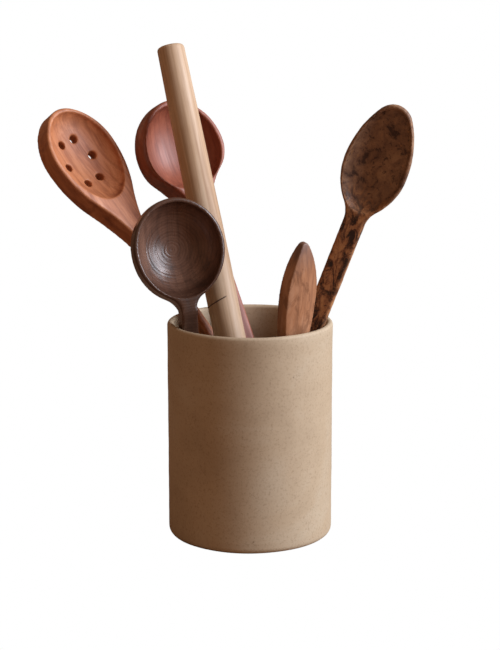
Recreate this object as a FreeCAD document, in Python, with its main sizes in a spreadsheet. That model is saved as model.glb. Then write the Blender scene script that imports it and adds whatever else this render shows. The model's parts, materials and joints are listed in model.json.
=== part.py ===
import FreeCAD, Part
import math
import os
import Sketcher

# A stoneware utensil crock with six wooden utensils standing in it.
# Millimetres. The origin is the centre of the crock's underside, +Z is up and -Y is the front.

Vector = FreeCAD.Vector
UP = Vector(0, 0, 1)

SIZES = {
    # The crock, and how close a utensil lies to it and to its neighbour.
    "crock_diameter": 140.0,
    "crock_height": 185.0,
    "crock_wall": 5.2,
    "crock_base": 8.0,
    "lip_round": 2.3,
    "foot_round": 5.5,
    "inside_round": 5.0,
    "seat_gap": 0.4,
    "utensil_gap": 4.0,
    # The rolling pin, a slim barrel that tapers to both ends.
    "pin_length": 424.0,
    "pin_diameter": 26.8,
    "pin_end_diameter": 23.6,
    "pin_end_round": 3.0,
    # The slotted spoon, wide and drilled, with a square-sided handle.
    "slotted_length": 402.5,
    "slotted_handle_width": 10.5,
    "slotted_handle_thick": 11.0,
    "slotted_bowl_width": 72.0,
    "slotted_bowl_thick": 23.0,
    "slotted_side_height": 17.0,
    "slotted_tip_reach": 44.0,
    "slotted_tip_radius": 26.0,
    "slotted_flare": 110.0,
    "slotted_fullness": 0.42,
    "slotted_hollow_reach": 46.0,
    "slotted_rim": 4.5,
    "slotted_wall": 8.0,
    "slotted_hole_diameter": 7.2,
    "slotted_hole_ring_width": 31.0,
    "slotted_hole_ring_length": 46.0,
    "slotted_hole_ring_drop": 3.0,
    # The deep spoon, with a broad flat rim.
    "deep_length": 380.0,
    "deep_handle_width": 12.0,
    "deep_handle_thick": 12.0,
    "deep_bowl_width": 82.0,
    "deep_bowl_thick": 30.0,
    "deep_side_height": 16.0,
    "deep_tip_reach": 46.0,
    "deep_tip_radius": 31.0,
    "deep_flare": 74.0,
    "deep_fullness": 0.3,
    "deep_hollow_reach": 34.0,
    "deep_rim": 5.0,
    "deep_wall": 6.5,
    # The ladle, with an egg-shaped bowl tipped back on its handle, whose neck stands clear of the lip.
    "ladle_neck_rise": 7.0,
    "ladle_bowl_tilt": 22.0,
    "ladle_keel_length": 34.0,
    "ladle_keel_depth": 8.0,
    "ladle_keel_width": 11.5,
    "ladle_handle_width": 14.0,
    "ladle_handle_thick": 12.0,
    "ladle_bowl_width": 79.0,
    "ladle_bowl_thick": 31.0,
    "ladle_side_height": 12.0,
    "ladle_tip_reach": 42.0,
    "ladle_tip_radius": 34.0,
    "ladle_flare": 53.0,
    "ladle_fullness": 0.78,
    "ladle_hollow_reach": 42.0,
    "ladle_rim": 4.0,
    "ladle_wall": 5.5,
    # The serving spoon, shallow and pointed, of a mottled palm wood.
    "serving_length": 388.0,
    "serving_handle_width": 18.0,
    "serving_handle_thick": 9.0,
    "serving_bowl_width": 54.5,
    "serving_bowl_thick": 17.0,
    "serving_side_height": 5.0,
    "serving_tip_reach": 55.0,
    "serving_tip_radius": 16.0,
    "serving_flare": 49.0,
    "serving_fullness": 0.72,
    "serving_hollow_reach": 39.0,
    "serving_rim": 3.0,
    "serving_wall": 5.0,
    # The spreader, a leaf-shaped blade on a plain handle.
    "spreader_length": 261.0,
    "spreader_handle_width": 12.0,
    "spreader_handle_thick": 11.0,
    "spreader_bowl_width": 29.5,
    "spreader_bowl_thick": 15.5,
    "spreader_side_height": 12.0,
    "spreader_tip_thick": 5.0,
    "spreader_tip_reach": 48.0,
    "spreader_tip_radius": 4.0,
    "spreader_flare": 86.0,
    "spreader_fullness": 0.6,
    # Edge rounding along the carved fronts.
    "front_round": 2.0,
}

# Where each utensil stands: the bearing of its foot and of the place on the lip where it leans, in degrees
# about +Z from +X, how far its foot is from the crock's axis, and how far its front is turned to the right.
STANDS = {
    "slotted_spoon": {"foot_bearing": 0.0, "foot_height": 33.5, "lip_bearing": 149.0, "turn": 48.0},
    "deep_spoon": {"foot_bearing": 18.0, "foot_radius": 49.0, "lip_bearing": 102.3, "turn": 32.0},
    "ladle": {"foot_bearing": 180.0, "foot_radius": 46.0, "lip_bearing": 206.3, "turn": 20.0},
    "serving_spoon": {"foot_bearing": 147.0, "foot_radius": 10.3, "lip_bearing": -16.5, "turn": -14.0},
    "spreader": {"foot_bearing": -7.0, "foot_radius": 19.0, "lip_bearing": -49.6, "turn": 36.0},
}
PIN_FOOT_BEARING = -69.4
PIN_FOOT_RADIUS = 46.7
PIN_SIDE_LEAN = 12.15
HOLE_COUNT = 6


class Size:
    """A length with its value now and the sheet expression that gives it."""

    def __init__(self, value, text):
        self.value = value
        self.text = text

    def __add__(self, other):
        other = as_size(other)
        return Size(self.value + other.value, f"({self.text} + {other.text})")

    def __sub__(self, other):
        other = as_size(other)
        return Size(self.value - other.value, f"({self.text} - {other.text})")

    def __mul__(self, other):
        other = as_size(other)
        return Size(self.value * other.value, f"({self.text} * {other.text})")

    def __truediv__(self, other):
        other = as_size(other)
        return Size(self.value / other.value, f"({self.text} / {other.text})")


def as_size(number):
    return number if isinstance(number, Size) else Size(number, repr(number))


def root(size):
    return Size(math.sqrt(size.value), f"sqrt({size.text})")


def bearing(degrees):
    """The level direction at an angle about +Z."""
    return Vector(math.cos(math.radians(degrees)), math.sin(math.radians(degrees)), 0)


doc = FreeCAD.newDocument("utensil_crock")
sheet = doc.addObject("Spreadsheet::Sheet", "Sizes")
for row, (alias, number) in enumerate(SIZES.items(), start=1):
    sheet.set(f"A{row}", alias)
    sheet.set(f"B{row}", str(number))
    sheet.setAlias(f"B{row}", alias)
doc.recompute()
SIZE = {alias: Size(float(sheet.get(alias)), f"Sizes.{alias}") for alias in SIZES}


def origin_plane(body, role):
    return next(feature for feature in body.Origin.OriginFeatures if feature.Role == role)


def new_sketch(body, name, role):
    sketch = body.newObject("Sketcher::SketchObject", name)
    sketch.AttachmentSupport = [(origin_plane(body, role), "")]
    sketch.MapMode = "FlatFace"
    return sketch


def tie(sketch, kind, *where, size):
    """Adds a dimension to a sketch and ties it to the sheet."""
    index = sketch.addConstraint(Sketcher.Constraint(kind, *where, size.value))
    sketch.setExpression(f"Constraints[{index}]", size.text)


def bind(item, **sizes):
    for name, size in sizes.items():
        item.setExpression(name, as_size(size).text)


def circle_sketch(body, name, radius):
    sketch = new_sketch(body, name, "XY_Plane")
    sketch.addGeometry(Part.Circle(Vector(0, 0, 0), UP, radius.value))
    sketch.addConstraint(Sketcher.Constraint("Coincident", 0, 3, -1, 1))
    tie(sketch, "Radius", 0, size=radius)
    return sketch


def edges_where(shape, test):
    """The names of the edges whose two ends and middle all pass a test."""
    names = []
    for number, edge in enumerate(shape.Edges, start=1):
        middle = edge.valueAt((edge.FirstParameter + edge.LastParameter) / 2)
        points = [middle] + [vertex.Point for vertex in edge.Vertexes]
        if all(test(point) for point in points):
            names.append(f"Edge{number}")
    return names


def round_edges(body, name, base, radius, test):
    """A fillet along the edges of a feature that pass a test."""
    fillet = body.newObject("PartDesign::Fillet", name)
    fillet.Base = (base, edges_where(base.Shape, test))
    bind(fillet, Radius=radius)
    doc.recompute()
    return fillet


def near(a, b):
    return abs(a - b) < 1e-4


def make_crock():
    """One thrown piece: a straight wall, a round lip and a flat floor."""
    outside = SIZE["crock_diameter"] / 2
    bore = outside - SIZE["crock_wall"]
    height = SIZE["crock_height"]
    floor = SIZE["crock_base"]
    body = doc.addObject("PartDesign::Body", "crock")

    wall = body.newObject("PartDesign::Pad", "crock_outside")
    wall.Profile = circle_sketch(body, "crock_outside_circle", outside)
    bind(wall, Length=height)

    inside = body.newObject("PartDesign::Pocket", "crock_inside")
    inside_circle = circle_sketch(body, "crock_inside_circle", bore)
    inside_circle.setExpression(".AttachmentOffset.Base.z", floor.text)
    inside.Profile = inside_circle
    inside.Reversed = True
    bind(inside, Length=height - floor)
    doc.recompute()

    top = height.value
    lip = round_edges(body, "lip", inside, SIZE["lip_round"], lambda p: near(p.z, top))
    rim = outside.value
    foot = round_edges(body, "foot", lip, SIZE["foot_round"],
                       lambda p: near(p.z, 0) and near(math.hypot(p.x, p.y), rim))
    round_edges(body, "inside_corner", foot, SIZE["inside_round"],
                lambda p: near(p.z, floor.value) and near(math.hypot(p.x, p.y), bore.value))
    body.Label = "crock"
    return body


def make_pin():
    """A slim rolling pin: one long arc turned about the axis, with rounded ends."""
    half = SIZE["pin_length"] / 2
    end = SIZE["pin_end_diameter"] / 2
    swell = SIZE["pin_diameter"] / 2 - end
    sweep = (half * half + swell * swell) / (swell * 2)
    body = doc.addObject("PartDesign::Body", "rolling_pin")
    sketch = new_sketch(body, "pin_profile", "XZ_Plane")

    length = half.value * 2
    corners = [Vector(0, 0, 0), Vector(end.value, 0, 0), Vector(end.value, length, 0), Vector(0, length, 0)]
    sketch.addGeometry(Part.LineSegment(corners[0], corners[1]))
    centre = Vector(end.value + swell.value - sweep.value, half.value, 0)
    spread = math.asin(half.value / sweep.value)
    sketch.addGeometry(Part.ArcOfCircle(Part.Circle(centre, UP, sweep.value), -spread, spread))
    sketch.addGeometry(Part.LineSegment(corners[2], corners[3]))
    sketch.addGeometry(Part.LineSegment(corners[3], corners[0]))
    for edge in range(4):
        sketch.addConstraint(Sketcher.Constraint("Coincident", edge, 2, (edge + 1) % 4, 1))
    sketch.addConstraint(Sketcher.Constraint("Coincident", 0, 1, -1, 1))
    sketch.addConstraint(Sketcher.Constraint("Horizontal", 0))
    sketch.addConstraint(Sketcher.Constraint("Horizontal", 2))
    sketch.addConstraint(Sketcher.Constraint("Vertical", 3))
    tie(sketch, "DistanceX", -1, 1, 0, 2, size=end)
    tie(sketch, "DistanceX", -1, 1, 1, 2, size=end)
    tie(sketch, "DistanceY", -1, 1, 2, 2, size=SIZE["pin_length"])
    tie(sketch, "Radius", 1, size=sweep)

    turned = body.newObject("PartDesign::Revolution", "pin_turned")
    turned.Profile = sketch
    turned.ReferenceAxis = (sketch, ["V_Axis"])
    turned.Angle = 360
    doc.recompute()
    round_edges(body, "pin_ends", turned, SIZE["pin_end_round"],
                lambda p: (near(p.z, 0) or near(p.z, length)) and math.hypot(p.x, p.y) > end.value / 2)
    body.Label = "rolling_pin"
    return body


class Outline:
    """The front view of a carved utensil: a round-ended handle with its foot at z = 0, a hollow flare, a full
    side and a tip, every stretch an arc that runs smoothly into the next. Without a handle it starts at
    the neck, at z = 0."""

    def __init__(self, kind, handle=True):
        self.handle = handle
        self.end = SIZE[f"{kind}_handle_width"] / 2
        self.half = SIZE[f"{kind}_bowl_width"] / 2
        self.reach = SIZE[f"{kind}_tip_reach"]
        self.tip = SIZE[f"{kind}_tip_radius"]
        self.flare = SIZE[f"{kind}_flare"]
        self.length = SIZE[f"{kind}_length"] if handle else self.flare + self.reach
        self.widest = self.length - self.reach
        self.neck = self.widest - self.flare
        step = self.half - self.end
        both = (step * step + self.flare * self.flare) / (step * 2)
        self.full = both * SIZE[f"{kind}_fullness"]
        self.hollow = both - self.full
        rise = self.reach - self.tip
        spare = self.half - self.tip
        self.side = (self.half * self.half + rise * rise - self.tip * self.tip) / (spare * 2)
        out = (self.side - self.half) / (self.side - self.tip)
        up = rise / (self.side - self.tip)
        self.right = [
            (self.end, self.end if handle else self.neck),
            (self.end, self.neck),
            (self.half - self.full + (both - step) / both * self.full,
             self.widest - self.flare / both * self.full),
            (self.half, self.widest),
            (out * self.tip, self.length - self.tip + up * self.tip),
        ]

    def draw(self, sketch):
        """Draws the outline round from the right side of the foot, and ties it to the sheet."""
        points = [Vector(x.value, z.value, 0) for x, z in self.right]
        mirrored = [Vector(-p.x, p.y, 0) for p in points]
        hollow_x = self.end.value + self.hollow.value
        full_x = self.half.value - self.full.value
        side_x = self.half.value - self.side.value
        neck, widest = self.neck.value, self.widest.value
        tip_z = self.length.value - self.tip.value
        ends = {}

        def line(start, stop):
            return sketch.addGeometry(Part.LineSegment(start, stop))

        def arc(x, z, start, stop):
            centre = Vector(x, z, 0)
            first, last = start - centre, stop - centre
            begin, finish = math.atan2(first.y, first.x), math.atan2(last.y, last.x)
            if finish < begin:
                finish += 2 * math.pi
            return sketch.addGeometry(Part.ArcOfCircle(Part.Circle(centre, UP, first.Length), begin, finish))

        def join(edge, start, stop):
            for corner, place in ((start, 1), (stop, 2)):
                if corner in ends:
                    sketch.addConstraint(Sketcher.Constraint("Coincident", *ends[corner], edge, place))
                else:
                    ends[corner] = (edge, place)

        if self.handle:
            foot = arc(0, self.end.value, mirrored[0], points[0])
            join(foot, "left0", "right0")
            join(line(points[0], points[1]), "right0", "right1")
        else:
            join(line(mirrored[1], points[1]), "left1", "right1")
        hollow_right = arc(hollow_x, neck, points[2], points[1])
        join(hollow_right, "right2", "right1")
        full_right = arc(full_x, widest, points[2], points[3])
        join(full_right, "right2", "right3")
        side_right = arc(side_x, widest, points[3], points[4])
        join(side_right, "right3", "right4")
        tip = arc(0, tip_z, points[4], mirrored[4])
        join(tip, "right4", "left4")
        side_left = arc(-side_x, widest, mirrored[4], mirrored[3])
        join(side_left, "left4", "left3")
        full_left = arc(-full_x, widest, mirrored[3], mirrored[2])
        join(full_left, "left3", "left2")
        hollow_left = arc(-hollow_x, neck, mirrored[1], mirrored[2])
        join(hollow_left, "left1", "left2")
        if self.handle:
            join(line(mirrored[1], mirrored[0]), "left1", "left0")
            tie(sketch, "DistanceY", -1, 1, foot, 3, size=self.end)

        first = 0 if self.handle else 1
        for number, (x, z) in enumerate(self.right[first:], start=first):
            corner = ends[f"right{number}"]
            tie(sketch, "DistanceX", -1, 1, *corner, size=x)
            tie(sketch, "DistanceY", -1, 1, *corner, size=z)
            sketch.addConstraint(Sketcher.Constraint("Symmetric", *corner, *ends[f"left{number}"], -2))
        tie(sketch, "Radius", tip, size=self.tip)
        for pair, radius in (((hollow_right, hollow_left), self.hollow), ((full_right, full_left), self.full),
                             ((side_right, side_left), self.side)):
            for edge in pair:
                tie(sketch, "Radius", edge, size=radius)


def make_blank(kind, outline, thick):
    """The outline sawn from a board: front at y = 0, back at y = thick, long edges eased."""
    body = doc.addObject("PartDesign::Body", f"{kind}_blank")
    sketch = new_sketch(body, f"{kind}_outline", "XZ_Plane")
    outline.draw(sketch)
    board = body.newObject("PartDesign::Pad", f"{kind}_board")
    board.Profile = sketch
    board.Reversed = True
    bind(board, Length=thick)
    doc.recompute()
    round_edges(body, f"{kind}_front_edges", board, SIZE["front_round"], lambda p: near(p.y, 0))
    return body


def egg(name, height, half_width, depth, tip_reach, neck_reach):
    """An egg about the bowl's widest place: one half ellipsoid to the tip and one to the neck."""
    halves = []
    for end, reach, low, high in (("tip", tip_reach, 0, 90), ("neck", neck_reach, -90, 0)):
        half = doc.addObject("Part::Ellipsoid", f"{name}_{end}")
        half.Angle1 = low
        half.Angle2 = high
        bind(half, Radius1=reach, Radius2=half_width, Radius3=depth)
        half.setExpression(".Placement.Base.z", height.text)
        halves.append(half)
    return halves


def fuse(name, pieces):
    joined = doc.addObject("Part::MultiFuse", name)
    joined.Shapes = pieces
    return joined


def boolean(kind, name, base, tool):
    result = doc.addObject(f"Part::{kind}", name)
    result.Base = base
    result.Tool = tool
    return result


def handle_stock(kind, outline, width):
    """The block that keeps the handle its own thickness, up to the neck."""
    stock = doc.addObject("Part::Box", f"{kind}_handle_stock")
    bind(stock, Length=width, Width=SIZE[f"{kind}_handle_thick"], Height=outline.neck)
    stock.setExpression(".Placement.Base.x", (width * -0.5).text)
    return stock


def make_spoon(kind, label, handle=True):
    """A carved spoon: a sawn blank with a domed back, and an egg-shaped hollow in the front."""
    outline = Outline(kind, handle)
    thick = SIZE[f"{kind}_bowl_thick"]
    side = SIZE[f"{kind}_side_height"]
    rim = SIZE[f"{kind}_rim"]
    blank = make_blank(kind, outline, thick)

    # The dome is wider than the spoon by so much that its sides stay the side height deep.
    cut_back = root(as_size(1) - side * side / (thick * thick))
    handle_thick = SIZE[f"{kind}_handle_thick"]
    fall = root(as_size(1) - handle_thick * handle_thick / (thick * thick))
    dome = egg(f"{kind}_dome", outline.widest, outline.half / cut_back, thick,
               outline.reach / cut_back, outline.flare / fall)
    if handle:
        dome.append(handle_stock(kind, outline, outline.half * 2))
    stock = fuse(f"{kind}_stock", dome)
    shaped = boolean("Common", f"{kind}_shaped", blank, stock)

    hollow = egg(f"{kind}_hollow", outline.widest, outline.half - rim, thick - SIZE[f"{kind}_wall"],
                 outline.reach - rim, SIZE[f"{kind}_hollow_reach"])
    spoon = boolean("Cut", f"{kind}_carved", shaped, fuse(f"{kind}_scoop", hollow))
    doc.recompute()
    spoon.Label = label
    return spoon


def make_ladle(kind, label):
    """A spoon's head tipped back on a separate bar of a handle, with a round elbow where they meet."""
    half = SIZE[f"{kind}_handle_width"] / 2
    thick = SIZE[f"{kind}_handle_thick"]
    length = SIZE["crock_height"] + SIZE[f"{kind}_neck_rise"]
    head = make_spoon(kind, f"{kind}_head", handle=False)
    middle = Vector(0, thick.value / 2, 0)
    tip_back = FreeCAD.Rotation(Vector(1, 0, 0), -SIZE[f"{kind}_bowl_tilt"].value)
    neck = Vector(0, middle.y, length.value)
    head.Placement = FreeCAD.Placement(neck - tip_back.multVec(middle), tip_back)

    body = doc.addObject("PartDesign::Body", f"{kind}_handle")
    sketch = new_sketch(body, f"{kind}_handle_outline", "XZ_Plane")
    left, right = -half.value, half.value
    top = length.value
    foot = Part.Circle(Vector(0, right, 0), UP, right)
    sketch.addGeometry(Part.ArcOfCircle(foot, math.pi, 2 * math.pi))
    sketch.addGeometry(Part.LineSegment(Vector(right, right, 0), Vector(right, top, 0)))
    sketch.addGeometry(Part.LineSegment(Vector(right, top, 0), Vector(left, top, 0)))
    sketch.addGeometry(Part.LineSegment(Vector(left, top, 0), Vector(left, right, 0)))
    for edge in range(4):
        sketch.addConstraint(Sketcher.Constraint("Coincident", edge, 2, (edge + 1) % 4, 1))
    for edge in (1, 3):
        sketch.addConstraint(Sketcher.Constraint("Vertical", edge))
    sketch.addConstraint(Sketcher.Constraint("Horizontal", 2))
    tie(sketch, "DistanceX", -1, 1, 0, 2, size=half)
    tie(sketch, "DistanceY", -1, 1, 0, 2, size=half)
    tie(sketch, "DistanceY", -1, 1, 0, 3, size=half)
    tie(sketch, "DistanceY", -1, 1, 1, 2, size=length)
    sketch.addConstraint(Sketcher.Constraint("Symmetric", 0, 1, 0, 2, -2))
    bar = body.newObject("PartDesign::Pad", f"{kind}_bar")
    bar.Profile = sketch
    bar.Reversed = True
    bind(bar, Length=thick)
    doc.recompute()
    round_edges(body, f"{kind}_bar_edges", bar, SIZE["front_round"],
                lambda p: near(p.y, 0) and not near(p.z, top))

    elbow = doc.addObject("Part::Cylinder", f"{kind}_elbow")
    bind(elbow, Radius=thick / 2, Height=half * 2)
    elbow.Placement = FreeCAD.Placement(neck + Vector(left, 0, 0), FreeCAD.Rotation(Vector(0, 1, 0), 90))
    keel = doc.addObject("Part::Ellipsoid", f"{kind}_keel")
    keel.Angle2 = 0
    bind(keel, Radius1=SIZE[f"{kind}_keel_length"], Radius2=SIZE[f"{kind}_keel_width"] / 2,
         Radius3=SIZE[f"{kind}_keel_depth"])
    keel.Placement = FreeCAD.Placement(neck + middle, FreeCAD.Rotation())
    ladle = fuse(f"{kind}_whole", [body, elbow, keel, head])
    doc.recompute()
    ladle.Label = label
    return ladle


def drill(spoon, kind, label):
    """Six drain holes in an oval ring through the floor of a bowl."""
    outline = Outline(kind)
    holes = []
    for number in range(HOLE_COUNT):
        angle = math.radians(360 / HOLE_COUNT * number)
        hole = doc.addObject("Part::Cylinder", f"{kind}_hole_{number + 1}")
        bind(hole, Radius=SIZE[f"{kind}_hole_diameter"] / 2, Height=SIZE[f"{kind}_bowl_thick"] * 2)
        hole.Placement = FreeCAD.Placement(Vector(0, 0, 0), FreeCAD.Rotation(Vector(1, 0, 0), -90))
        hole.setExpression(".Placement.Base.x", (SIZE[f"{kind}_hole_ring_width"] * (math.cos(angle) / 2)).text)
        middle = outline.widest - SIZE[f"{kind}_hole_ring_drop"]
        place = middle + SIZE[f"{kind}_hole_ring_length"] * (math.sin(angle) / 2)
        hole.setExpression(".Placement.Base.z", place.text)
        holes.append(hole)
    drilled = boolean("Cut", f"{kind}_drilled", spoon, fuse(f"{kind}_holes", holes))
    spoon.Label = f"{kind}_undrilled"
    doc.recompute()
    drilled.Label = label
    return drilled


def make_spreader(kind, label):
    """A leaf-shaped blade, domed on both faces, on a plain handle."""
    outline = Outline(kind)
    thick = SIZE[f"{kind}_bowl_thick"]
    side = SIZE[f"{kind}_side_height"]
    blank = make_blank(kind, outline, thick)
    cut_back = root(as_size(1) - side * side / (thick * thick))
    tip = SIZE[f"{kind}_tip_thick"]
    cut_tip = root(as_size(1) - tip * tip / (thick * thick))
    handle_thick = SIZE[f"{kind}_handle_thick"]
    fall = root(as_size(1) - handle_thick * handle_thick / (thick * thick))
    dome = egg(f"{kind}_dome", outline.widest, outline.half / cut_back, thick / 2,
               outline.reach / cut_tip, outline.flare / fall)
    for half in dome:
        half.setExpression(".Placement.Base.y", (thick / 2).text)
    stock = handle_stock(kind, outline, outline.half * 2)
    stock.setExpression(".Placement.Base.y", ((thick - handle_thick) / 2).text)
    spreader = boolean("Common", f"{kind}_carved", blank, fuse(f"{kind}_stock", dome + [stock]))
    doc.recompute()
    spreader.Label = label
    return spreader


class Handle:
    """A handle's section for seating: half sizes, and the rounding of its two front corners."""

    def __init__(self, kind):
        self.half_width = SIZE[f"{kind}_handle_width"].value / 2
        self.half_thick = SIZE[f"{kind}_handle_thick"].value / 2
        self.round = SIZE["front_round"].value
        self.lip_width = self.half_width
        self.lip_thick = self.half_thick

    def swell(self, outline, thick, height):
        """Takes the fuller section where a flare comes down as far as the lip."""
        rise = height - outline.neck.value
        drop = max(0, outline.widest.value - height)
        if height > outline.right[2][1].value:
            bend = outline.full.value
            self.lip_width = outline.half.value - bend + math.sqrt(bend * bend - drop * drop)
            self.lip_thick = thick / 2
        elif rise > 0:
            bend = outline.hollow.value
            self.lip_width = self.half_width + bend - math.sqrt(bend * bend - rise * rise)
            self.lip_thick = thick / 2

    def corners(self, spin):
        """Where the four corners are rounded from, off the axis, and by how much."""
        for side in (-1, 1):
            for front, corner in ((-1, self.round), (1, 0)):
                offset = Vector(side * (self.lip_width - corner), front * (self.lip_thick - corner), 0)
                yield spin.multVec(offset), corner

    def reach(self, spin, direction):
        """How far the section reaches from its axis in a direction."""
        return max(offset.dot(direction) + corner for offset, corner in self.corners(spin))

    def end_reach(self, spin, direction):
        """How far the round end reaches from the centre of its arc in a direction."""
        through = abs(direction.dot(spin.multVec(Vector(0, 1, 0))))
        return math.sqrt(1 - through * through) * self.half_width + through * self.half_thick

    def lip_gap(self, foot, axis, spin):
        """The least distance between the handle and the crock's round lip."""
        gaps = []
        for offset, corner in self.corners(spin):
            for step in range(-8, 9):
                start = foot + offset
                point = start + axis * ((LIP_HEIGHT + step / 2 - start.z) / axis.z)
                inward = BORE + LIP - math.hypot(point.x, point.y)
                away = math.copysign(math.hypot(inward, point.z - LIP_HEIGHT), inward)
                gaps.append(away - LIP - corner)
        return min(gaps)


BORE = SIZE["crock_diameter"].value / 2 - SIZE["crock_wall"].value
FLOOR = SIZE["crock_base"].value
GAP = SIZE["seat_gap"].value
LIP = SIZE["lip_round"].value
LIP_HEIGHT = SIZE["crock_height"].value - LIP


def spin_to(axis, turn):
    """The rotation that stands a utensil along an axis, its front turned to the right first."""
    return FreeCAD.Rotation(UP, axis).multiply(FreeCAD.Rotation(UP, turn))


def stand(utensil, kind, place):
    """Seats a utensil on the floor, or against the far wall, and leans it out until it nearly meets the lip."""
    handle = Handle(kind)
    middle = Vector(0, handle.half_thick, 0)
    if kind == "spreader":
        thick = SIZE["spreader_bowl_thick"].value
        middle.y = thick / 2
        handle.swell(Outline(kind), thick, LIP_HEIGHT + LIP - FLOOR)
    away = bearing(place["foot_bearing"])
    out = bearing(place["lip_bearing"])
    axis = UP
    least, most = 0, BORE
    for _ in range(60):
        spin = spin_to(axis, place["turn"])
        if "foot_height" in place:
            end = away * (BORE - GAP - handle.end_reach(spin, away))
            end.z = place["foot_height"]
        else:
            end = away * place["foot_radius"]
            end.z = FLOOR + GAP + handle.end_reach(spin, UP)
        seat = out * ((least + most) / 2)
        seat.z = LIP_HEIGHT
        axis = (seat - end).normalize()
        spin = spin_to(axis, place["turn"])
        if handle.lip_gap(end, axis, spin) > GAP:
            least = (least + most) / 2
        else:
            most = (least + most) / 2
    foot = end - axis * handle.half_width
    utensil.Placement = FreeCAD.Placement(foot - spin.multVec(middle), spin)
    return foot, axis, spin


def stand_pin(pin, beside, beside_foot, beside_axis, beside_spin):
    """Stands the pin on the floor and leans it back until it is one gap short of the handle behind it."""
    end = SIZE["pin_end_diameter"].value / 2
    corner = SIZE["pin_end_round"].value
    apart = SIZE["pin_diameter"].value / 2 + SIZE["utensil_gap"].value
    foot = bearing(PIN_FOOT_BEARING) * PIN_FOOT_RADIUS
    foot.z = FLOOR
    least, most = -0.3, 0.6
    for _ in range(40):
        back = (least + most) / 2
        axis = Vector(-math.tan(math.radians(PIN_SIDE_LEAN)), back, 1).normalize()
        slope = math.sqrt(1 - axis.z * axis.z)
        foot.z = FLOOR + GAP + (end - corner) * slope + corner * (1 - axis.z)
        across = axis.cross(beside_axis).normalize()
        across = across * math.copysign(1, across.y)
        if (beside_foot - foot).dot(across) > apart + beside.reach(beside_spin, across * -1):
            least = back
        else:
            most = back
    spin = spin_to(axis, 0)
    pin.Placement = FreeCAD.Placement(foot, spin)
    return foot, axis, spin


crock = make_crock()
pin = make_pin()
slotted = drill(make_spoon("slotted", "slotted_blank"), "slotted", "slotted_spoon")
deep = make_spoon("deep", "deep_spoon")
ladle = make_ladle("ladle", "ladle")
serving = make_spoon("serving", "serving_spoon")
spreader = make_spreader("spreader", "spreader")

seats = {}
for utensil, kind in ((slotted, "slotted"), (deep, "deep"), (ladle, "ladle"), (serving, "serving"),
                      (spreader, "spreader")):
    seats[utensil.Label] = stand(utensil, kind, STANDS[utensil.Label])
seats["rolling_pin"] = stand_pin(pin, Handle("slotted"), *seats["slotted_spoon"])

doc.recompute()
for item in doc.Objects:
    if "Invalid" in item.State or "Error" in item.State:
        raise RuntimeError(f"{item.Name} did not compute")
parts = [crock, pin, slotted, deep, ladle, serving, spreader]
os.makedirs("parts", exist_ok=True)
for part in parts:
    shape = part.Shape
    if shape.isNull() or not shape.isValid() or len(shape.Solids) != 1:
        raise RuntimeError(f"{part.Label} is not one valid solid")
    shape.exportStep(f"parts/{part.Label}.step")
for label, (foot, axis, spin) in seats.items():
    clear = (SIZE["crock_height"].value + 12 - foot.z) / axis.z
    print("lift", label, *[round(v, 4) for v in (*foot, *axis, clear)])
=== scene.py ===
"""A stoneware crock of wooden kitchen tools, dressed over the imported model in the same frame, in metres."""
import json
import math

import bpy
from mathutils import Matrix, Vector


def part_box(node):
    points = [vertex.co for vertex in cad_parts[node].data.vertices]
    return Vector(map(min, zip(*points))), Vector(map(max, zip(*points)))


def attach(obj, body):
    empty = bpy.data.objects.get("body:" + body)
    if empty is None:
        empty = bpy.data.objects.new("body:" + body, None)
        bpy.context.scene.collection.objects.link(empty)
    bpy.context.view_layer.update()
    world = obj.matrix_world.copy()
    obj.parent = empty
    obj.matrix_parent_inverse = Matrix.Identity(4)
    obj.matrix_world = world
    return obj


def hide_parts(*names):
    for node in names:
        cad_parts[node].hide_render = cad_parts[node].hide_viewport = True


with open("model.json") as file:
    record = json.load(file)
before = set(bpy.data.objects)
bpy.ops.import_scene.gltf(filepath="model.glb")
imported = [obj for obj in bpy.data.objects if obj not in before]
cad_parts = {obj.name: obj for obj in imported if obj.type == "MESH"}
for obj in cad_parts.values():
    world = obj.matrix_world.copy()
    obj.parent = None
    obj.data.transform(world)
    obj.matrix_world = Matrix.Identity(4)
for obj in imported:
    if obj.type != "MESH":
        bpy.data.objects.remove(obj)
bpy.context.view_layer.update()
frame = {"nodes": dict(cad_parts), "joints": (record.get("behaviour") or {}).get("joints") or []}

MM = 0.001

# How far each tool's front is turned to the viewer's right, in degrees, as it stands in the crock.
TURN = {
    "rolling_pin": 0,
    "slotted_spoon": 48,
    "deep_spoon": 32,
    "ladle": 20,
    "serving_spoon": -14,
    "spreader": 36,
}


def only(piece):
    """Selects this piece and nothing else."""
    bpy.ops.object.select_all(action="DESELECT")
    piece.select_set(True)
    bpy.context.view_layer.objects.active = piece


def finish_with(piece, kind, **settings):
    """Adds a modifier, sets it and applies it."""
    only(piece)
    modifier = piece.modifiers.new(kind.lower(), kind)
    for setting, value in settings.items():
        setattr(modifier, setting, value)
    bpy.ops.object.modifier_apply(modifier=modifier.name)


def stance(node):
    """Where a tool stands: from upright at the origin, facing the viewer, to its place in the crock."""
    joint = next(joint for joint in frame["joints"] if joint["child"] == node)
    axis = Vector(joint["axis"]).normalized()
    points = [vertex.co for vertex in frame["nodes"][node].data.vertices]
    lowest = min(point.dot(axis) for point in points)
    sole = [point for point in points if point.dot(axis) < lowest + 4 * MM]
    foot = sum(sole, Vector()) / len(sole)
    lean = Vector((0, 0, 1)).rotation_difference(axis).to_matrix().to_4x4()
    return Matrix.Translation(foot) @ lean @ Matrix.Rotation(math.radians(TURN[node]), 4, "Z")


STANCE = {node: stance(node) for node in TURN}

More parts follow.
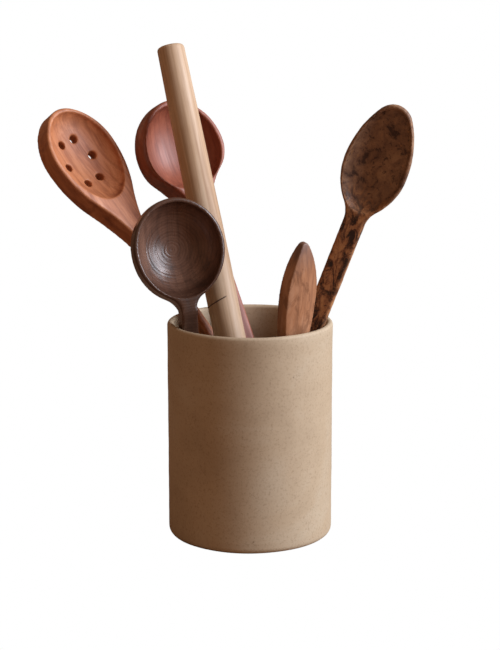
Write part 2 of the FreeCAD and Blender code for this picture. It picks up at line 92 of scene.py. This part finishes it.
# The middle of the ladle's bowl: up the handle to the neck, tipped back there, and on to the widest place.
NECK_OF_LADLE = 192 * MM
TIP_OF_LADLE = math.radians(-22)
NECK_TO_MIDDLE = 53 * MM
BOWL_OF_LADLE = (STANCE["ladle"] @ Matrix.Translation((0, 0, NECK_OF_LADLE))
                 @ Matrix.Rotation(TIP_OF_LADLE, 4, "X") @ Matrix.Translation((0, 0, NECK_TO_MIDDLE)))


def drawn_up(name, rings, sides):
    """A round piece drawn up ring by ring through (radius, height) pairs, and closed at both ends."""
    bpy.ops.object.select_all(action="DESELECT")
    radius, height = rings[0]
    bpy.ops.mesh.primitive_circle_add(vertices=sides, radius=radius, location=(0, 0, height))
    piece = bpy.context.object
    piece.name = name
    bpy.ops.object.transform_apply(location=True, rotation=True, scale=True)
    bpy.ops.object.mode_set(mode="EDIT")
    bpy.ops.mesh.select_all(action="SELECT")
    for next_radius, next_height in rings[1:]:
        bpy.ops.mesh.extrude_region_move(TRANSFORM_OT_translate={"value": (0, 0, next_height - height)})
        scale = next_radius / radius
        bpy.ops.transform.resize(value=(scale, scale, 1), center_override=(0, 0, next_height))
        radius, height = next_radius, next_height
    bpy.ops.mesh.edge_face_add()
    bpy.ops.mesh.select_all(action="DESELECT")
    bpy.ops.mesh.select_non_manifold()
    bpy.ops.mesh.edge_face_add()
    bpy.ops.mesh.select_all(action="SELECT")
    bpy.ops.mesh.normals_make_consistent(inside=False)
    bpy.ops.object.mode_set(mode="OBJECT")
    return piece


def settle(piece, transform):
    """Puts a piece in its place, with the place in its mesh."""
    piece.matrix_world = transform
    only(piece)
    bpy.ops.object.transform_apply(location=True, rotation=True, scale=True)


def ease(piece, name, size, strength):
    """Hand-made unevenness: a slow swell and dip of the surface."""
    texture = bpy.data.textures.new(name, "CLOUDS")
    texture.noise_scale = size
    finish_with(piece, "DISPLACE", texture=texture, strength=strength, mid_level=0.5,
                texture_coords="LOCAL")


def smooth_shaded(piece, degrees):
    """Shades smooth, except at edges sharper than this."""
    only(piece)
    bpy.ops.object.shade_smooth_by_angle(angle=math.radians(degrees))


def dress(piece, node, finish):
    """Hands the piece over: it stands for its CAD node and moves with that node's body."""
    piece.data.materials.clear()
    piece.data.materials.append(finish)
    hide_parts(node)
    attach(piece, node)


class Finish:
    """A material being built: keeps its node tree, and wires each new node as it is added."""

    def __init__(self, name):
        self.material = bpy.data.materials.new(name)
        self.material.use_nodes = True
        self.tree = self.material.node_tree
        self.skin = self.tree.nodes["Principled BSDF"]
        self.place = self.tree.nodes.new("ShaderNodeTexCoord").outputs["Object"]

    def node(self, kind, settings=None, **inputs):
        node = self.tree.nodes.new("ShaderNode" + kind)
        for setting, value in (settings or {}).items():
            setattr(node, setting, value)
        for socket, value in inputs.items():
            self.feed(node.inputs[socket.replace("_", " ")], value)
        return node

    def feed(self, socket, value):
        if isinstance(value, bpy.types.NodeSocket):
            self.tree.links.new(value, socket)
        else:
            socket.default_value = value

    def grain_space(self, transform, stretch):
        """Coordinates that run along the tool, with the pattern stretched along the handle."""
        turn = transform.to_euler("XYZ")
        return self.node("Mapping", {"vector_type": "TEXTURE"}, Vector=self.place,
                         Location=transform.translation, Rotation=(turn.x, turn.y, turn.z),
                         Scale=(1, 1, stretch)).outputs[0]

    def noise(self, place, scale, detail=4.0, roughness=0.55, distortion=0.0):
        return self.node("TexNoise", None, Vector=place, Scale=scale, Detail=detail, Roughness=roughness,
                         Distortion=distortion).outputs["Fac"]

    def bands(self, place, scale, distortion, detail, direction="X", kind="BANDS"):
        settings = {"wave_type": kind, "wave_profile": "SIN"}
        settings["bands_direction" if kind == "BANDS" else "rings_direction"] = direction
        return self.node("TexWave", settings, Vector=place, Scale=scale, Distortion=distortion,
                         Detail=detail).outputs["Fac"]

    def ramp(self, fac, *stops):
        """A colour ramp through (position, colour) stops."""
        node = self.node("ValToRGB", None, Fac=fac)
        elements = node.color_ramp.elements
        while len(elements) < len(stops):
            elements.new(0.5)
        for element, (position, colour) in zip(elements, stops):
            element.position = position
            element.color = (*colour, 1)
        return node.outputs["Color"]

    def spread(self, value, low, high, to_low=0.0, to_high=1.0):
        """Carries a value from one range to another, and holds it at the ends."""
        return self.node("MapRange", {"clamp": True}, Value=value, From_Min=low, From_Max=high,
                         To_Min=to_low, To_Max=to_high).outputs["Result"]

    def mix(self, fac, first, second):
        """Goes from the first colour to the second as fac goes from 0 to 1."""
        node = self.node("Mix", {"data_type": "RGBA"})
        self.feed(node.inputs[0], fac)
        self.feed(node.inputs[6], first if isinstance(first, bpy.types.NodeSocket) else (*first, 1))
        self.feed(node.inputs[7], second if isinstance(second, bpy.types.NodeSocket) else (*second, 1))
        return node.outputs[2]

    def reckon(self, first, operation, second):
        node = self.node("Math", {"operation": operation})
        self.feed(node.inputs[0], first)
        self.feed(node.inputs[1], second)
        return node.outputs[0]

    def bump(self, height, strength, distance, normal=None):
        inputs = {"Height": height, "Strength": strength, "Distance": distance}
        if normal is not None:
            inputs["Normal"] = normal
        return self.node("Bump", None, **inputs).outputs["Normal"]

    def worn(self, colour, pale, amount):
        """Lightens the ridges, where hands rub."""
        ridge = self.node("NewGeometry").outputs["Pointiness"]
        return self.mix(self.spread(ridge, 0.51, 0.56, 0, amount), colour, pale)

    def done(self):
        """Wires the colour, roughness and bump that were worked out, and gives the material."""
        self.feed(self.skin.inputs["Base Color"], self.colour)
        self.feed(self.skin.inputs["Roughness"], self.roughness)
        self.feed(self.skin.inputs["Normal"], self.normal)
        return self.material


def srgb(red, green, blue):
    """A colour given on a 0 to 255 scale, as the shader wants it."""
    return tuple(((value / 255 + 0.055) / 1.055) ** 2.4 if value > 10 else value / 255 / 12.92
                 for value in (red, green, blue))


def wood_grain(name, node, dark, mid, pale, stretch=14, streak=110, ring=40, gloss=0.5, pore=0.25):
    """Oiled wood: long streaks, faint growth lines, pores, a slow drift of tone and rubbed ridges."""
    finish = Finish(name)
    along = finish.grain_space(STANCE[node], stretch)
    plain = finish.grain_space(STANCE[node], 1)
    streaks = finish.noise(along, streak, 6, 0.62, 0.5)
    colour = finish.ramp(streaks, (0.30, dark), (0.50, mid), (0.70, pale))
    lines = finish.bands(along, ring, 7, 3)
    colour = finish.mix(finish.spread(lines, 0.0, 0.22, 0.35, 0.0), colour, dark)
    drift = finish.noise(plain, 22, 2)
    colour = finish.mix(finish.spread(drift, 0.4, 0.7, 0, 0.35), colour, pale)
    pores = finish.noise(along, 1400, 2, 0.5)
    colour = finish.mix(finish.spread(pores, 0.56, 0.70, 0, pore), colour, dark)
    finish.colour = finish.worn(colour, pale, 0.4)
    finish.roughness = finish.spread(streaks, 0.3, 0.7, gloss + 0.10, gloss - 0.06)
    finish.normal = finish.bump(streaks, 0.25, 0.3 * MM)
    finish.normal = finish.bump(pores, 0.2, 0.2 * MM, finish.normal)
    return finish


def wood(*tones, **choices):
    return wood_grain(*tones, **choices).done()


def ringed_walnut():
    """Dark wood of the ladle: rings of the tree and the gouge in the bowl, darker on the rim and handle."""
    finish = wood_grain("dark_walnut", "ladle", srgb(60, 40, 31), srgb(100, 70, 56), srgb(126, 94, 78),
                        gloss=0.30)
    bowl = finish.grain_space(BOWL_OF_LADLE, 1)
    wide = finish.bands(bowl, 42, 2.2, 2, "Y", "RINGS")
    fine = finish.bands(bowl, 130, 3.0, 2, "Y", "RINGS")
    colour = finish.mix(finish.spread(wide, 0.2, 0.9, 0, 0.22), finish.colour, srgb(128, 96, 80))
    colour = finish.mix(finish.spread(fine, 0.0, 0.30, 0.24, 0), colour, srgb(44, 27, 20))
    from_middle = finish.node("VectorMath", {"operation": "LENGTH"}, Vector=bowl).outputs["Value"]
    at_rim = finish.spread(from_middle, 33 * MM, 39 * MM, 0, 0.6)
    finish.colour = finish.mix(at_rim, colour, srgb(56, 36, 26))
    finish.normal = finish.bump(fine, 0.25, 0.2 * MM, finish.normal)
    return finish.done()


def mottled_palm():
    """Flecked palm wood: tan and near-black patches all over the handle, calmer and browner in the bowl."""
    node = "serving_spoon"
    finish = Finish("mottled_palm")
    plain = finish.grain_space(STANCE[node], 1)
    along = finish.grain_space(STANCE[node], 2.0)
    patches = finish.noise(along, 120, 6, 0.7, 0.8)
    handle = finish.ramp(patches, (0.41, srgb(46, 27, 18)), (0.47, srgb(112, 72, 46)),
                         (0.54, srgb(164, 114, 76)), (0.64, srgb(188, 138, 92)))
    cloud = finish.noise(plain, 62, 7, 0.7, 0.6)
    bowl = finish.ramp(cloud, (0.39, srgb(68, 45, 35)), (0.44, srgb(116, 86, 66)),
                       (0.56, srgb(146, 112, 86)), (0.66, srgb(166, 132, 102)))
    height = finish.node("SeparateXYZ", None, Vector=plain).outputs[2]
    ragged = finish.reckon(patches, "MULTIPLY", 40 * MM)
    in_bowl = finish.spread(finish.reckon(height, "SUBTRACT", ragged), 270 * MM, 296 * MM)
    colour = finish.mix(in_bowl, handle, bowl)
    flecks = finish.noise(plain, 330, 4, 0.7, 0.5)
    colour = finish.mix(finish.spread(flecks, 0.57, 0.64, 0, 0.7), colour, srgb(44, 27, 19))
    light = finish.noise(plain, 240, 3, 0.6, 0.3)
    colour = finish.mix(finish.spread(light, 0.60, 0.70, 0, 0.45), colour, srgb(176, 130, 86))
    finish.colour = finish.worn(colour, srgb(150, 104, 68), 0.4)
    finish.roughness = finish.spread(flecks, 0.4, 0.6, 0.48, 0.62)
    finish.normal = finish.bump(patches, 0.35, 0.6 * MM)
    finish.normal = finish.bump(flecks, 0.35, 0.3 * MM, finish.normal)
    return finish.done()


def used_brown_wood():
    """Brown wood of the spreader: blotched with darker heartwood, and greyed at the tip by use."""
    node = "spreader"
    finish = wood_grain("brown_wood", node, srgb(108, 66, 42), srgb(166, 114, 78), srgb(186, 140, 108),
                        stretch=6)
    plain = finish.grain_space(STANCE[node], 1)
    blotch = finish.noise(finish.grain_space(STANCE[node], 2.5), 70, 5, 0.65, 0.8)
    colour = finish.mix(finish.spread(blotch, 0.55, 0.62, 0, 0.5), finish.colour, srgb(104, 64, 38))
    height = finish.node("SeparateXYZ", None, Vector=plain).outputs[2]
    tip = finish.reckon(height, "ADD", finish.reckon(blotch, "MULTIPLY", 30 * MM))
    finish.colour = finish.mix(finish.spread(tip, 250 * MM, 270 * MM, 0, 0.75), colour, srgb(98, 76, 70))
    return finish.done()


def stoneware():
    """Bare sandy stoneware: cloudy tone, fine grit, a few iron specks and faint lines from the wheel."""
    finish = Finish("sandy_stoneware")
    body = srgb(181, 162, 134)
    cloud = finish.noise(finish.place, 14, 4, 0.6, 0.6)
    colour = finish.ramp(cloud, (0.30, srgb(170, 151, 124)), (0.5, body), (0.70, srgb(186, 171, 146)))
    wheel = finish.node("Mapping", None, Vector=finish.place, Scale=(6, 6, 260)).outputs[0]
    lines = finish.noise(wheel, 1.0, 3)
    colour = finish.mix(finish.spread(lines, 0.35, 0.65, 0.0, 0.08), colour, srgb(158, 136, 108))
    grit = finish.noise(finish.place, 520, 4, 0.75)
    colour = finish.mix(finish.spread(grit, 0.52, 0.66, 0, 0.42), colour, srgb(128, 104, 78))
    specks = finish.node("TexVoronoi", None, Vector=finish.place, Scale=95.0).outputs["Distance"]
    chosen = finish.noise(finish.place, 45, 1)
    near = finish.spread(specks, 0.05, 0.09, 1, 0)
    speck = finish.reckon(near, "MULTIPLY", finish.spread(chosen, 0.60, 0.64))
    colour = finish.mix(finish.reckon(speck, "MULTIPLY", 0.55), colour, srgb(92, 66, 44))
    finish.colour = finish.worn(colour, srgb(206, 192, 166), 0.6)
    finish.roughness = finish.spread(cloud, 0.3, 0.7, 0.78, 0.66)
    finish.normal = finish.bump(lines, 0.10, 0.3 * MM)
    finish.normal = finish.bump(grit, 0.35, 0.25 * MM, finish.normal)
    return finish.done()


def make_crock():
    """The crock, drawn up on a wheel: soft foot, nearly straight wall, rounded lip, and down the inside."""
    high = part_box("crock")[1]
    outside = high.x
    height = high.z
    wall = 5.2 * MM
    floor = 8 * MM
    foot = 5.5 * MM
    lip = wall / 2
    outer_mark = 0.05 * MM
    inner_mark = 0.15 * MM
    rings = [(outside * 0.5, 0), (outside - foot, 0)]
    for step in range(1, 7):
        angle = math.radians(15 * step)
        rings.append((outside - foot + foot * math.sin(angle), foot - foot * math.cos(angle)))
    courses = 30
    for course in range(1, courses + 1):
        share = course / courses
        up = foot + (height - lip - foot) * share
        mark = outer_mark * (math.sin(course * 2.4) + math.sin(course * 0.9))
        rings.append((outside + mark, up))
    for step in range(1, 12):
        angle = math.radians(15 * step)
        rings.append((outside - lip + lip * math.cos(angle), height - lip + lip * math.sin(angle)))
    for course in range(courses, 0, -1):
        share = course / courses
        up = floor + foot + (height - lip - floor - foot) * share
        mark = inner_mark * math.sin(course * 2.1)
        rings.append((outside - wall + mark, up))
    for step in range(0, 7):
        angle = math.radians(15 * step)
        radius = outside - wall - foot + foot * math.cos(angle)
        rings.append((radius, floor + foot - foot * math.sin(angle)))
    rings.append((outside * 0.4, floor))
    piece = drawn_up("crock_pot", rings, 128)
    ease(piece, "uneven_clay", 0.09, 0.8 * MM)
    smooth_shaded(piece, 60)
    dress(piece, "crock", stoneware())


def maple_with_dark_line():
    """Pale wood with a short dark line across the left of its front, part of the way up."""
    node = "rolling_pin"
    finish = wood_grain("pale_maple", node, srgb(158, 124, 92), srgb(194, 164, 132), srgb(206, 182, 154),
                        stretch=22, streak=130, ring=60, gloss=0.55)
    spot = finish.node("SeparateXYZ", None, Vector=finish.grain_space(STANCE[node], 1))
    across, through, up = spot.outputs
    # A short dark line of colour across the pin, at this height and slope.
    dark_line_height = 199.5 * MM
    dark_line_slope = 0.32
    level = finish.reckon(up, "SUBTRACT", finish.reckon(across, "MULTIPLY", dark_line_slope))
    above = finish.reckon(level, "SUBTRACT", dark_line_height)
    off = finish.node("Math", {"operation": "ABSOLUTE"}, Value=above).outputs[0]
    mark = finish.spread(off, 0.25 * MM, 0.75 * MM, 1, 0)
    mark = finish.reckon(mark, "MULTIPLY", finish.spread(across, 3 * MM, 5 * MM, 1, 0))
    mark = finish.reckon(mark, "MULTIPLY", finish.spread(through, -2 * MM, 1 * MM, 1, 0))
    finish.colour = finish.mix(mark, finish.colour, srgb(46, 28, 20))
    return finish.done()


def make_pin():
    """The rolling pin, turned between centres: a long slow barrel with softened ends."""
    node = "rolling_pin"
    length = 424 * MM
    middle = 13.4 * MM
    end = 11.8 * MM
    soft = 3 * MM
    rings = [(end - soft, 0)]
    for step in range(1, 6):
        angle = math.radians(18 * step)
        rings.append((end - soft + soft * math.sin(angle), soft - soft * math.cos(angle)))
    cuts = 24
    for cut in range(1, cuts):
        share = cut / cuts
        barrel = end + (middle - end) * math.sin(math.pi * share)
        rings.append((barrel, soft + (length - 2 * soft) * share))
    for step in range(0, 6):
        angle = math.radians(18 * step)
        rings.append((end - soft + soft * math.cos(angle), length - soft + soft * math.sin(angle)))
    piece = drawn_up("pin_of_pale_wood", rings, 64)
    settle(piece, STANCE[node])
    ease(piece, "pin_unevenness", 0.06, 0.5 * MM)
    smooth_shaded(piece, 40)
    dress(piece, node, maple_with_dark_line())


def sanded(node, name, grit, passes):
    """A tool carved to its CAD shape: a merged copy, cut over evenly, then rubbed down at the edges."""
    blank = frame["nodes"][node]
    piece = bpy.data.objects.new(name, blank.data.copy())
    bpy.context.scene.collection.objects.link(piece)
    only(piece)
    bpy.ops.object.mode_set(mode="EDIT")
    bpy.ops.mesh.select_all(action="SELECT")
    bpy.ops.mesh.remove_doubles(threshold=0.01 * MM)
    bpy.ops.object.mode_set(mode="OBJECT")
    finish_with(piece, "REMESH", mode="VOXEL", voxel_size=grit)
    finish_with(piece, "SMOOTH", factor=0.5, iterations=passes)
    smooth_shaded(piece, 60)
    return piece


def gouge_rings(piece):
    """Fine rings left by the gouge, sunk into the hollow of the ladle's bowl."""
    reach = 33 * MM
    fading = 6 * MM
    depth = 0.06 * MM
    pitch = 3.4 * MM
    to_bowl = BOWL_OF_LADLE.inverted()
    front = BOWL_OF_LADLE.to_3x3() @ Vector((0, -1, 0))
    for vertex in piece.data.vertices:
        spot = to_bowl @ vertex.co
        out = math.hypot(spot.x, spot.z)
        if out < reach and vertex.normal.dot(front) > 0.35:
            fade = min(1, (reach - out) / fading)
            vertex.co -= vertex.normal * (depth * fade * math.sin(out / pitch * 2 * math.pi))


def make_spoons():
    """The five carved tools, each sanded to its own softness and given its own wood."""
    slotted = sanded("slotted_spoon", "slotted_spoon_of_cherry", 0.9 * MM, 5)
    dress(slotted, "slotted_spoon",
          wood("oiled_cherry", "slotted_spoon", srgb(126, 64, 34), srgb(178, 110, 70), srgb(204, 138, 96),
               stretch=7))
    deep = sanded("deep_spoon", "deep_spoon_of_red_wood", 1.0 * MM, 14)
    dress(deep, "deep_spoon",
          wood("red_wood", "deep_spoon", srgb(100, 46, 32), srgb(138, 74, 52), srgb(160, 94, 70)))
    ladle = sanded("ladle", "ladle_of_dark_wood", 0.9 * MM, 10)
    gouge_rings(ladle)
    dress(ladle, "ladle", ringed_walnut())
    serving = sanded("serving_spoon", "serving_spoon_of_mottled_wood", 0.9 * MM, 6)
    ease(serving, "gnarled_palm", 0.007, 0.5 * MM)
    dress(serving, "serving_spoon", mottled_palm())
    spreader = sanded("spreader", "spreader_of_brown_wood", 0.7 * MM, 4)
    dress(spreader, "spreader", used_brown_wood())


def pale_floor():
    """Paper that shows clean white, and throws back only a little warm light."""
    paper = bpy.data.materials.new("white_paper")
    paper.use_nodes = True
    tree = paper.node_tree
    tree.nodes.remove(tree.nodes["Principled BSDF"])
    glow = tree.nodes.new("ShaderNodeEmission")
    glow.inputs["Strength"].default_value = 1.0
    bounce = tree.nodes.new("ShaderNodeBsdfDiffuse")
    bounce.inputs["Color"].default_value = (0.28, 0.17, 0.11, 1)
    ray = tree.nodes.new("ShaderNodeLightPath")
    choose = tree.nodes.new("ShaderNodeMixShader")
    tree.links.new(ray.outputs["Is Camera Ray"], choose.inputs[0])
    tree.links.new(bounce.outputs[0], choose.inputs[1])
    tree.links.new(glow.outputs[0], choose.inputs[2])
    tree.links.new(choose.outputs[0], tree.nodes["Material Output"].inputs["Surface"])
    return paper


def make_stage():
    """A plain white floor, a big soft light from the right, and a gentle warm fill all round."""
    bpy.ops.object.select_all(action="DESELECT")
    bpy.ops.mesh.primitive_plane_add(size=60, location=(0, 0, -0.2 * MM))
    floor = bpy.context.object
    floor.name = "floor"
    floor.data.materials.append(pale_floor())

    aim = Vector((0, 0, 0.22))
    window = bpy.data.lights.new("window", "AREA")
    window.size = 2.0
    window.energy = 180
    window.color = (0.94, 1.0, 1.12)
    lamp = bpy.data.objects.new("window", window)
    lamp.location = (2.95, -0.66, 1.75)
    lamp.rotation_euler = (aim - lamp.location).to_track_quat("-Z", "Y").to_euler()
    bpy.context.scene.collection.objects.link(lamp)

    world = bpy.data.worlds.new("studio")
    world.use_nodes = True
    tree = world.node_tree
    seen = tree.nodes["Background"]
    seen.inputs["Color"].default_value = (1, 1, 1, 1)
    seen.inputs["Strength"].default_value = 1.0
    glow = tree.nodes.new("ShaderNodeBackground")
    glow.inputs["Color"].default_value = (1, 0.6, 0.38, 1)
    glow.inputs["Strength"].default_value = 0.3
    ray = tree.nodes.new("ShaderNodeLightPath")
    choose = tree.nodes.new("ShaderNodeMixShader")
    tree.links.new(ray.outputs["Is Camera Ray"], choose.inputs[0])
    tree.links.new(glow.outputs[0], choose.inputs[1])
    tree.links.new(seen.outputs[0], choose.inputs[2])
    tree.links.new(choose.outputs[0], tree.nodes["World Output"].inputs["Surface"])
    bpy.context.scene.world = world
    bpy.context.scene.view_settings.view_transform = "Standard"


def make_camera():
    """Straight on, a little above, looking down at the middle of the tools."""
    camera = bpy.data.cameras.new("camera")
    camera.sensor_width = 36
    camera.lens = 107
    eye = bpy.data.objects.new("camera", camera)
    eye.location = (0, -1.6, 0.527)
    eye.rotation_euler = (math.radians(90 - 12.2), 0, 0)
    bpy.context.scene.collection.objects.link(eye)
    bpy.context.scene.camera = eye


make_crock()
make_pin()
make_spoons()
make_stage()
make_camera()
